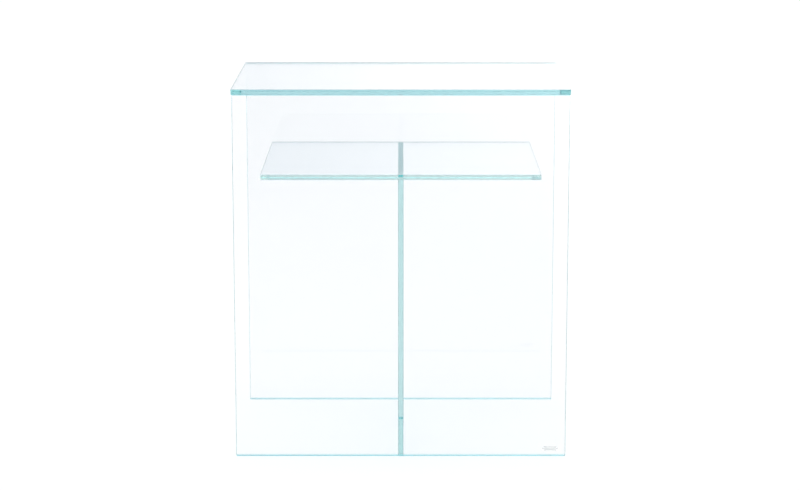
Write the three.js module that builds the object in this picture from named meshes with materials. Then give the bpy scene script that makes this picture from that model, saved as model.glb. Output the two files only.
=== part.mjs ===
// All-glass stand. Two full-height panels carry a flat top, and between the panels a shelf
// lies on a central upright, so that the stand is open at both ends and underneath.
// Every plate is 10 mm float glass, and every joint is a thin line of clear cured adhesive.
//
// Frame: millimetres, +Z up, the front faces -Y, the origin is on the floor under the middle.

import * as THREE from 'three';

// ---- Driving dimensions ----

const TOP_LENGTH = 627; // the top plate along X
const TOP_DEPTH = 427; // the top plate along Y
const HEIGHT = 700; // floor to the top surface
const GLASS = 10; // thickness of every plate
const BOND = 0.25; // thickness of every adhesive line
const REVEAL = 1.5; // how far the panels stand in from the top plate's edges
const SHELF_LENGTH = 522; // the shelf along X
const SHELF_TOP = 540; // floor to the shelf's upper surface
const ARRIS = 0.5; // 45 degree chamfer along every ground edge
const CORNER = 2; // radius of every plate's eased corners, seen square on

// ---- Worked out from them ----

const PANEL_LENGTH = TOP_LENGTH - 2 * REVEAL;
const PANEL_HEIGHT = HEIGHT - GLASS - BOND;
const PANEL_Y = TOP_DEPTH / 2 - REVEAL - GLASS / 2; // middle of a panel's thickness
const INNER_Y = PANEL_Y - GLASS / 2; // a panel's inner face
const INNER_DEPTH = 2 * (INNER_Y - BOND); // what is between the adhesive on both panels
const UPRIGHT_HEIGHT = SHELF_TOP - GLASS - BOND;
const LAND = GLASS - 2 * ARRIS; // the flat that is left on an edge between its arrises
const CORNER_STEPS = 5; // facets round an eased corner

// ---- Materials ----

const glass = {
  color: 0xd5eff0,
  roughness: 0.03,
  metalness: 0,
  transparent: true,
  opacity: 0.35,
};
const adhesive = {
  color: 0xe8f3f2,
  roughness: 0.12,
  metalness: 0,
  transparent: true,
  opacity: 0.5,
};

// Which way a plate's outline lies: its length, its width, and the way its thickness points.
const X = new THREE.Vector3(1, 0, 0);
const Y = new THREE.Vector3(0, 1, 0);
const Z = new THREE.Vector3(0, 0, 1);
const FLAT = [X, Y, Z]; // a top or a shelf
const FACING_FRONT = [Z, X, Y]; // a front or back panel
const FACING_SIDE = [Y, Z, X]; // an upright seen edge on from the front

const stand = new THREE.Group();

// A rectangle about its own middle, with its four corners rounded by CORNER.
function easedOutline(length, width) {
  const [a, b] = [length / 2 - CORNER, width / 2 - CORNER];
  const outline = new THREE.Shape();
  for (const [quarter, x, y] of [[0, a, b], [1, -a, b], [2, -a, -b], [3, a, -b]]) {
    const start = (quarter * Math.PI) / 2;
    outline.absarc(x, y, CORNER, start, start + Math.PI / 2, false);
  }
  return outline;
}

// A glass plate about its own middle, with an arris along both rims of its ground edge.
function addPlate(name, axes, length, width, centre) {
  const geometry = new THREE.ExtrudeGeometry(easedOutline(length, width), {
    depth: LAND,
    curveSegments: CORNER_STEPS,
    bevelEnabled: true,
    bevelSegments: 1,
    bevelThickness: ARRIS,
    bevelSize: ARRIS,
    bevelOffset: -ARRIS,
  });
  geometry.translate(0, 0, -LAND / 2);
  geometry.applyMatrix4(new THREE.Matrix4().makeBasis(...axes));
  const mesh = new THREE.Mesh(geometry, new THREE.MeshStandardMaterial(glass));
  mesh.name = name;
  mesh.position.set(...centre);
  stand.add(mesh);
}

// A flat line of adhesive between the land of one plate's edge and the next plate's face.
function addBond(name, size, centre) {
  const mesh = new THREE.Mesh(
    new THREE.BoxGeometry(...size),
    new THREE.MeshStandardMaterial(adhesive),
  );
  mesh.name = name;
  mesh.position.set(...centre);
  stand.add(mesh);
}

function addPanels() {
  for (const [name, side] of [['front', -1], ['back', 1]]) {
    addPlate(`${name}_panel`, FACING_FRONT, PANEL_HEIGHT, PANEL_LENGTH, [
      0,
      side * PANEL_Y,
      PANEL_HEIGHT / 2,
    ]);
  }
}

function addTop() {
  addPlate('top_plate', FLAT, TOP_LENGTH, TOP_DEPTH, [0, 0, HEIGHT - GLASS / 2]);
  for (const [name, side] of [['front', -1], ['back', 1]]) {
    addBond(
      `bond_top_to_${name}_panel`,
      [PANEL_LENGTH - 2 * CORNER, LAND, BOND],
      [0, side * PANEL_Y, PANEL_HEIGHT + BOND / 2],
    );
  }
}

function addShelf() {
  const z = SHELF_TOP - GLASS / 2;
  addPlate('shelf', FLAT, SHELF_LENGTH, INNER_DEPTH, [0, 0, z]);
  for (const [name, side] of [['front', -1], ['back', 1]]) {
    addBond(
      `bond_shelf_to_${name}_panel`,
      [SHELF_LENGTH - 2 * CORNER, BOND, LAND],
      [0, side * (INNER_Y - BOND / 2), z],
    );
  }
}

function addUpright() {
  const z = UPRIGHT_HEIGHT / 2;
  addPlate('centre_upright', FACING_SIDE, INNER_DEPTH, UPRIGHT_HEIGHT, [0, 0, z]);
  addBond(
    'bond_shelf_to_upright',
    [LAND, INNER_DEPTH - 2 * CORNER, BOND],
    [0, 0, UPRIGHT_HEIGHT + BOND / 2],
  );
  for (const [name, side] of [['front', -1], ['back', 1]]) {
    addBond(
      `bond_upright_to_${name}_panel`,
      [LAND, BOND, UPRIGHT_HEIGHT - 2 * CORNER],
      [0, side * (INNER_Y - BOND / 2), z],
    );
  }
}

addPanels();
addTop();
addShelf();
addUpright();

export default stand;
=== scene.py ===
"""An all-glass stand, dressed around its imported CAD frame.

The five plates keep their CAD meshes and get real glass: it bends light, absorbs it by depth, and
is in optical contact wherever adhesive joins two plates. The adhesive lines are new thin films, and
a small frosted bar is new too. Lengths are in metres. The frame is the CAD's: +Z up, the front faces -Y.
"""

import math

import bmesh
import bpy
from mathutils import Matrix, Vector


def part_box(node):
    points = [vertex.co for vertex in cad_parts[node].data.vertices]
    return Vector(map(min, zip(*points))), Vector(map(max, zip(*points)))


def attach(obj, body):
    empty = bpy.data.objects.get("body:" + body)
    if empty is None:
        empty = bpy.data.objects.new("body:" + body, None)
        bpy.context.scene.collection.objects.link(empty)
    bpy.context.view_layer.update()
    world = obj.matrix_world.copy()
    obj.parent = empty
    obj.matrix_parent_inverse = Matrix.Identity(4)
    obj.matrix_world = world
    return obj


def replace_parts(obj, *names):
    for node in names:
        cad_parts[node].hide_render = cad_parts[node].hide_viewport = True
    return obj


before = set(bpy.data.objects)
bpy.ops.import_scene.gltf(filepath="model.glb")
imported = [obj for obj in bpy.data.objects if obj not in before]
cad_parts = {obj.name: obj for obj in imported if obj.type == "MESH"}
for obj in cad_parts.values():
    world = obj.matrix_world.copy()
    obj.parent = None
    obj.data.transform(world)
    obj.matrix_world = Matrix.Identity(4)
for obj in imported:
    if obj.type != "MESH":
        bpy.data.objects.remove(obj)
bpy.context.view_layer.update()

# ---- Glass ----

GLASS_IOR = 1.52
ABSORPTION_COLOUR = (0.05, 0.60, 0.65, 1)
ABSORPTION_DENSITY = 1.0  # per metre
FACE_COLOUR = (0.989, 0.993, 0.997, 1)  # of the polished faces
HEAD_SHADE_COLOUR = (0.10, 0.64, 0.68, 1)  # painted shade: deep aqua painted on a standing plate's upper edge, under what it carries, darkening the light seen up through the glass
FOOT_SHADE_COLOUR = (0.76, 0.90, 0.92, 1)  # of a panel's lower edge and the band just above it: the glass's own edge tint, with painted shade where the glass meets the floor
EDGE_COLOURS = {  # of each plate's other ground edges
    "top_plate": (0.62, 0.86, 0.84, 1),
    "front_panel": (0.62, 0.82, 0.84, 1),
    "back_panel": (0.70, 0.86, 0.88, 1),
    "shelf": (0.94, 0.97, 0.96, 1),
    "centre_upright": (0.866, 0.937, 0.932, 1),
}
TOP_FRONT_COLOUR = (0.96, 0.965, 1, 1)  # of the top plate's front edge, which is paler
JOINT_COLOURS = {  # of the ground edges that adhesive joins to a panel
    "shelf": (0.995, 0.955, 0.93, 1),
    "centre_upright": (0.94, 0.955, 0.945, 1),
}
PANE_CLEARNESS = (0.986, 0.993, 0.995, 1)  # what one face lets through from the lamps
ARRIS_REACH = 0.00049  # how far in from a plate's outline its ground edge reaches
HEAD_SHADE_START = (0.035, 0.075)  # how far behind its front end the upright's painted upper-edge shade begins, so that its front end stays pale
HEAD_SHADE_REACH = 0.0006  # how far down the painted shade on a standing plate's upper edge reaches
FOOT_REACH = 0.0025  # how far up from the floor the painted shade along a panel's bottom reaches
BOND_REACH = 0.0004  # how far past an adhesive line, through it, the glass counts as joined

GRIND_SCALE = 900  # grinding marks to the metre
GRIND_DEPTH = 0.25  # how much of an edge's colour the marks take away at most

PLATES = ("top_plate", "front_panel", "back_panel", "shelf", "centre_upright")
BONDS = tuple(sorted(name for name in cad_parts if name.startswith("bond_")))
WHITE = (1, 1, 1, 1)


class Nodes:
    """A short way to write the node tree of a material or of the world."""

    def __init__(self, owner):
        owner.use_nodes = True
        self.owner = owner
        self.tree = owner.node_tree
        self.tree.nodes.clear()

    def feed(self, socket, value):
        if isinstance(value, bpy.types.NodeSocket):
            self.tree.links.new(value, socket)
        else:
            socket.default_value = value

    def add(self, kind, **inputs):
        node = self.tree.nodes.new("ShaderNode" + kind)
        for name, value in inputs.items():
            self.feed(node.inputs[name.replace("_", " ")], value)
        return node

    def maths(self, operation, a, b=0.0):
        node = self.tree.nodes.new("ShaderNodeMath")
        node.operation = operation
        self.feed(node.inputs[0], a)
        self.feed(node.inputs[1], b)
        return node.outputs[0]

    def vector(self, operation, a, b=(0, 0, 0)):
        node = self.tree.nodes.new("ShaderNodeVectorMath")
        node.operation = operation
        self.feed(node.inputs[0], a)
        self.feed(node.inputs[1], b)
        return node.outputs[0]

    def mix(self, share, first, second):
        """A blend of two shaders."""
        node = self.tree.nodes.new("ShaderNodeMixShader")
        self.feed(node.inputs[0], share)
        self.feed(node.inputs[1], first)
        self.feed(node.inputs[2], second)
        return node.outputs[0]

    def blend(self, share, first, second):
        """A blend of two colours."""
        node = self.tree.nodes.new("ShaderNodeMix")
        node.data_type = "RGBA"
        factor, a, b = [s for s in node.inputs if s.enabled]
        self.feed(factor, share)
        self.feed(a, first)
        self.feed(b, second)
        return next(s for s in node.outputs if s.enabled)

    def ramp(self, value, low, high):
        """0 where value is under low, 1 where it is over high, and smooth between them."""
        node = self.tree.nodes.new("ShaderNodeMapRange")
        node.interpolation_type = "SMOOTHSTEP"
        self.feed(node.inputs["Value"], value)
        self.feed(node.inputs["From Min"], low)
        self.feed(node.inputs["From Max"], high)
        return node.outputs[0]

    def position(self):
        """Where the surface is in the row frame: every object here sits at the origin."""
        return self.add("TexCoord").outputs["Object"]

    def noise(self, scale):
        return self.add("TexNoise", Vector=self.position(), Scale=scale).outputs[0]

    def inside(self, low, high):
        """1 inside a box given by its corners in the row frame, and 0 outside it."""
        centre, half = (low + high) / 2, (high - low) / 2
        offset = self.vector("ABSOLUTE", self.vector("SUBTRACT", self.position(), centre))
        left = self.add("SeparateXYZ", Vector=self.vector("SUBTRACT", half, offset))
        least = self.maths("MINIMUM", left.outputs[0], left.outputs[1])
        least = self.maths("MINIMUM", least, left.outputs[2])
        return self.maths("GREATER_THAN", least, 0.0)

    def finish(self, surface, volume=None):
        output = self.add("OutputMaterial", Surface=surface)
        if volume is not None:
            self.feed(output.inputs["Volume"], volume)
        return self.owner


def thin_axis(low, high):
    """The axis along which a plate or an adhesive line is thinnest."""
    return min(range(3), key=lambda axis: high[axis] - low[axis])


def joined(nodes, plate):
    """1 where adhesive joins the plate's surface to another plate, and 0 elsewhere."""
    low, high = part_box(plate)
    mask = 0.0
    for bond in BONDS:
        near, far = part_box(bond)
        thin = thin_axis(near, far)
        near[thin] -= BOND_REACH
        far[thin] += BOND_REACH
        if all(near[i] < high[i] and far[i] > low[i] for i in range(3)):
            mask = nodes.maths("MAXIMUM", mask, nodes.inside(near, far))
    return mask


def ground(nodes, plate):
    """1 on a plate's ground edges and their arrises, and 0 on its two polished faces."""
    low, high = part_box(plate)
    thin = thin_axis(low, high)
    thickness = high[thin] - low[thin]
    for axis in range(3):
        shrink = -thickness if axis == thin else ARRIS_REACH
        low[axis] += shrink
        high[axis] -= shrink
    return nodes.maths("SUBTRACT", 1.0, nodes.inside(low, high))


def plate_colour(nodes, plate, joint):
    """Clear faces, aqua edges that fine grinding marks make uneven, and painted shade along the standing
    plates' upper edges and the panels' bottoms.
    """
    low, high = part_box(plate)
    stands = low.z < FOOT_REACH
    edge = ground(nodes, plate)
    marks = nodes.maths("MULTIPLY", nodes.noise(GRIND_SCALE), GRIND_DEPTH)
    uneven = nodes.maths("SUBTRACT", edge, nodes.maths("MULTIPLY", edge, marks))
    colour = nodes.blend(uneven, FACE_COLOUR, EDGE_COLOURS[plate])
    _, depth, height = nodes.add("SeparateXYZ", Vector=nodes.position()).outputs
    if plate == "top_plate":
        front = nodes.maths("LESS_THAN", depth, low.y + ARRIS_REACH)
        colour = nodes.blend(front, colour, TOP_FRONT_COLOUR)
    if plate in JOINT_COLOURS:
        joined_edge = nodes.maths("MULTIPLY", edge, joint)
        colour = nodes.blend(joined_edge, colour, JOINT_COLOURS[plate])
    if stands:
        # Painted shade: deep aqua along a standing plate's upper edge darkens the light seen through it,
        # and is left off near the upright's front end.
        head_shade = nodes.maths("GREATER_THAN", height, high.z - HEAD_SHADE_REACH)
        if plate == "centre_upright":
            start, full = (low.y + reach for reach in HEAD_SHADE_START)
            head_shade = nodes.maths("MULTIPLY", head_shade, nodes.ramp(depth, start, full))
        colour = nodes.blend(head_shade, colour, HEAD_SHADE_COLOUR)
    if plate.endswith("_panel"):
        # Painted shade: an aqua band along a panel's bottom, standing in for the shaded line where the
        # glass meets the floor.
        foot_shade = nodes.maths("LESS_THAN", height, FOOT_REACH)
        colour = nodes.blend(foot_shade, colour, FOOT_SHADE_COLOUR)
    return colour


def glass_material(plate):
    """Glass that bends no light where it is joined, and lets the lamps' light straight through."""
    nodes = Nodes(bpy.data.materials.new(plate + "_glass"))
    joint = joined(nodes, plate)
    cancelled = nodes.maths("MULTIPLY", joint, GLASS_IOR - 1)
    glass = nodes.add(
        "BsdfGlass",
        Color=plate_colour(nodes, plate, joint),
        Roughness=0.0,
        IOR=nodes.maths("SUBTRACT", GLASS_IOR, cancelled),
    )
    clear = nodes.add("BsdfTransparent", Color=PANE_CLEARNESS).outputs[0]
    path = nodes.add("LightPath").outputs
    surface = nodes.mix(path["Is Diffuse Ray"], glass.outputs[0], clear)
    surface = nodes.mix(path["Is Shadow Ray"], surface, clear)
    volume = nodes.add(
        "VolumeAbsorption", Color=ABSORPTION_COLOUR, Density=ABSORPTION_DENSITY
    )
    return nodes.finish(surface, volume.outputs[0])


# ---- Adhesive films and the frosted bar ----

FILM_GAP = 0.00005  # bare gap between a film and the glass, so that their faces never coincide
FILM_ROUND = 0.00003  # radius of a film's rims
FILM_COLOUR = (0.97, 0.995, 0.995, 1)
FILM_HAZE = 0.01  # the share of light that clear adhesive scatters
BUBBLE_SCALE = 700  # to the metre
BUBBLE_SIZES = (0.66, 0.74)  # noise values where a bubble's rim starts and where it is full
BUBBLE_HAZE = 0.06  # what a bubble adds to that share

BAR_SIZE = Vector((0.030, 0.0001, 0.009))  # along X, Y and Z
BAR_PLACE = (0.029, 0.0150)  # its middle, from the front panel's right edge and from the floor
BAR_ROUND = 0.003  # radius of its four corners
FROST_SCALE = 2500  # pits to the metre
FROST_SHARES = (0.12, 0.42)  # the least and the most that the frost hides
FROST_COLOUR = (0.92, 0.93, 0.89, 1)


def new_piece(name, shape, material):
    """A visible piece in the row frame, on the part's only body."""
    mesh = bpy.data.meshes.new(name)
    shape.to_mesh(mesh)
    shape.free()
    mesh.materials.append(material)
    piece = bpy.data.objects.new(name, mesh)
    bpy.context.scene.collection.objects.link(piece)
    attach(piece, "root")
    return piece


def block(low, high):
    """A box between two corners, still without rounding."""
    shape = bmesh.new()
    bmesh.ops.create_cube(shape, size=1.0)
    for vertex in shape.verts:
        for i in range(3):
            vertex.co[i] = low[i] if vertex.co[i] < 0 else high[i]
    return shape


def hazy(nodes, share, clear_colour, haze_colour):
    """A clear film of which a share scatters the light."""
    clear = nodes.add("BsdfTransparent", Color=clear_colour)
    haze = nodes.add("BsdfDiffuse", Color=haze_colour)
    return nodes.finish(nodes.mix(share, clear.outputs[0], haze.outputs[0]))


def adhesive_material():
    """Clear cured adhesive with a faint haze and a few tiny bubbles."""
    nodes = Nodes(bpy.data.materials.new("clear_adhesive"))
    bubbles = nodes.ramp(nodes.noise(BUBBLE_SCALE), *BUBBLE_SIZES)
    share = nodes.maths("ADD", nodes.maths("MULTIPLY", bubbles, BUBBLE_HAZE), FILM_HAZE)
    return hazy(nodes, share, FILM_COLOUR, WHITE)


def frost_material():
    """Etched glass: a grain of tiny pits that hides part of what is behind it."""
    nodes = Nodes(bpy.data.materials.new("frosted_glass"))
    least, most = FROST_SHARES
    grain = nodes.maths("MULTIPLY", nodes.noise(FROST_SCALE), most - least)
    return hazy(nodes, nodes.maths("ADD", grain, least), WHITE, FROST_COLOUR)


def make_film(bond, material):
    """A film that fills a joint, with every rim rounded."""
    low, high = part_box(bond)
    thin = thin_axis(low, high)
    low[thin] += FILM_GAP
    high[thin] -= FILM_GAP
    shape = block(low, high)
    bmesh.ops.bevel(
        shape, geom=shape.edges[:], offset=FILM_ROUND, segments=2, affect="EDGES"
    )
    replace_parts(new_piece(bond + "_film", shape, material), bond)


def make_frosted_bar():
    """A plain bar with rounded ends, low on the right of the front panel's outer face."""
    low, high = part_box("front_panel")
    from_edge, up = BAR_PLACE
    middle = Vector((high.x - from_edge, low.y - FILM_GAP - BAR_SIZE.y / 2, up))
    shape = block(middle - BAR_SIZE / 2, middle + BAR_SIZE / 2)
    corners = [e for e in shape.edges if e.verts[0].co.y != e.verts[1].co.y]
    bmesh.ops.bevel(shape, geom=corners, offset=BAR_ROUND, segments=6, affect="EDGES")
    new_piece("frosted_bar", shape, frost_material())


# ---- Stage ----

FLOOR_HALF = 30.0  # half the floor's side
FLOOR_Z = -0.0004  # bare gap under the feet
FLOOR_PAINT = (0.92, 0.92, 0.92, 1)

SKY_FRONT = (0.40, 0.45, 0.52, 1)  # the studio is dimmer behind the camera
SKY_LEFT = (0.92, 0.95, 0.98, 1)
SKY_RIGHT = (1.22, 1.21, 1.20, 1)
SKY_SIDES = (-0.09, 0.09)  # directions, along X, between which left turns to right
SKY_DEPTHS = (-0.6, 0.5)  # directions, along Y, between which front turns to back

SCRIM_PLACE = (2.35, 4.09, 3.0)  # high behind the stand and to its right
SCRIM_TURN = -30  # degrees
SCRIM_SIZE = (18, 14)
SCRIM_SPREAD = 60  # degrees
SCRIM_POWER = 300
SCRIM_COLOUR = (1, 0.92, 0.84)

SOFTBOX_PLACE = (2.1, 5.2, 2.2)  # over the floor behind the stand, on its right
SOFTBOX_SIZE = (1.2, 4.4)
SOFTBOX_SPREAD = 100  # degrees
SOFTBOX_POWER = 20
SOFTBOX_COLOUR = (1, 1, 1)

CAMERA_PLACE = (-0.0015, -4.4123, 1.2479)
CAMERA_TILT = 11.301  # degrees down from level
LENS = 103.46  # millimetres
SENSOR = 36  # its width in millimetres
BOUNCES = 96


def make_floor():
    """A plain pale floor that reaches far behind the stand."""
    shape = bmesh.new()
    bmesh.ops.create_grid(shape, x_segments=1, y_segments=1, size=FLOOR_HALF)
    mesh = bpy.data.meshes.new("studio_floor")
    shape.to_mesh(mesh)
    shape.free()
    nodes = Nodes(bpy.data.materials.new("studio_floor"))
    mesh.materials.append(nodes.finish(nodes.add("BsdfDiffuse", Color=FLOOR_PAINT).outputs[0]))
    floor = bpy.data.objects.new("studio_floor", mesh)
    floor.location.z = FLOOR_Z
    bpy.context.scene.collection.objects.link(floor)


def make_world():
    """A soft studio all round: brightest behind the stand and to its right."""
    world = bpy.data.worlds.new("studio")
    bpy.context.scene.world = world
    nodes = Nodes(world)
    way = nodes.add("SeparateXYZ", Vector=nodes.add("TexCoord").outputs["Generated"])
    behind = nodes.blend(nodes.ramp(way.outputs[0], *SKY_SIDES), SKY_LEFT, SKY_RIGHT)
    sky = nodes.blend(nodes.ramp(way.outputs[1], *SKY_DEPTHS), SKY_FRONT, behind)
    light = nodes.add("Background", Color=sky, Strength=1.0)
    nodes.add("OutputWorld", Surface=light.outputs[0])


def make_lamp(name, place, size, spread, power, colour):
    """A rectangle of light that faces straight down, unseen by the camera."""
    data = bpy.data.lights.new(name, "AREA")
    data.shape = "RECTANGLE"
    data.size, data.size_y = size
    data.spread = math.radians(spread)
    data.energy = power
    data.color = colour
    lamp = bpy.data.objects.new(name, data)
    lamp.location = place
    lamp.visible_camera = False
    bpy.context.scene.collection.objects.link(lamp)
    return lamp


def make_scrim():
    """The main light: a wide sheet, high behind the stand, that whitens the floor."""
    lamp = make_lamp(
        "scrim", SCRIM_PLACE, SCRIM_SIZE, SCRIM_SPREAD, SCRIM_POWER, SCRIM_COLOUR
    )
    lamp.rotation_euler.z = math.radians(SCRIM_TURN)


def make_softbox():
    """A long box that brightens the floor seen through the stand's right side."""
    make_lamp(
        "softbox", SOFTBOX_PLACE, SOFTBOX_SIZE, SOFTBOX_SPREAD, SOFTBOX_POWER, SOFTBOX_COLOUR
    )


def make_camera():
    """A long lens in front of the stand, above its top and tilted down."""
    data = bpy.data.cameras.new("camera")
    data.sensor_width = SENSOR
    data.lens = LENS
    camera = bpy.data.objects.new("camera", data)
    camera.location = CAMERA_PLACE
    camera.rotation_euler = (math.radians(90 - CAMERA_TILT), 0, 0)
    bpy.context.scene.collection.objects.link(camera)
    bpy.context.scene.camera = camera


def set_light_paths():
    """Light crosses many glass faces before it dies out, and the Standard view keeps pure white."""
    scene = bpy.context.scene
    scene.view_settings.view_transform = "Standard"
    scene.cycles.max_bounces = BOUNCES
    scene.cycles.transmission_bounces = BOUNCES
    scene.cycles.glossy_bounces = BOUNCES
    scene.cycles.transparent_max_bounces = BOUNCES


for plate in PLATES:
    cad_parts[plate].data.materials[0] = glass_material(plate)
adhesive = adhesive_material()
for bond in BONDS:
    make_film(bond, adhesive)
make_frosted_bar()

make_floor()
make_world()
make_scrim()
make_softbox()
make_camera()
set_light_paths()
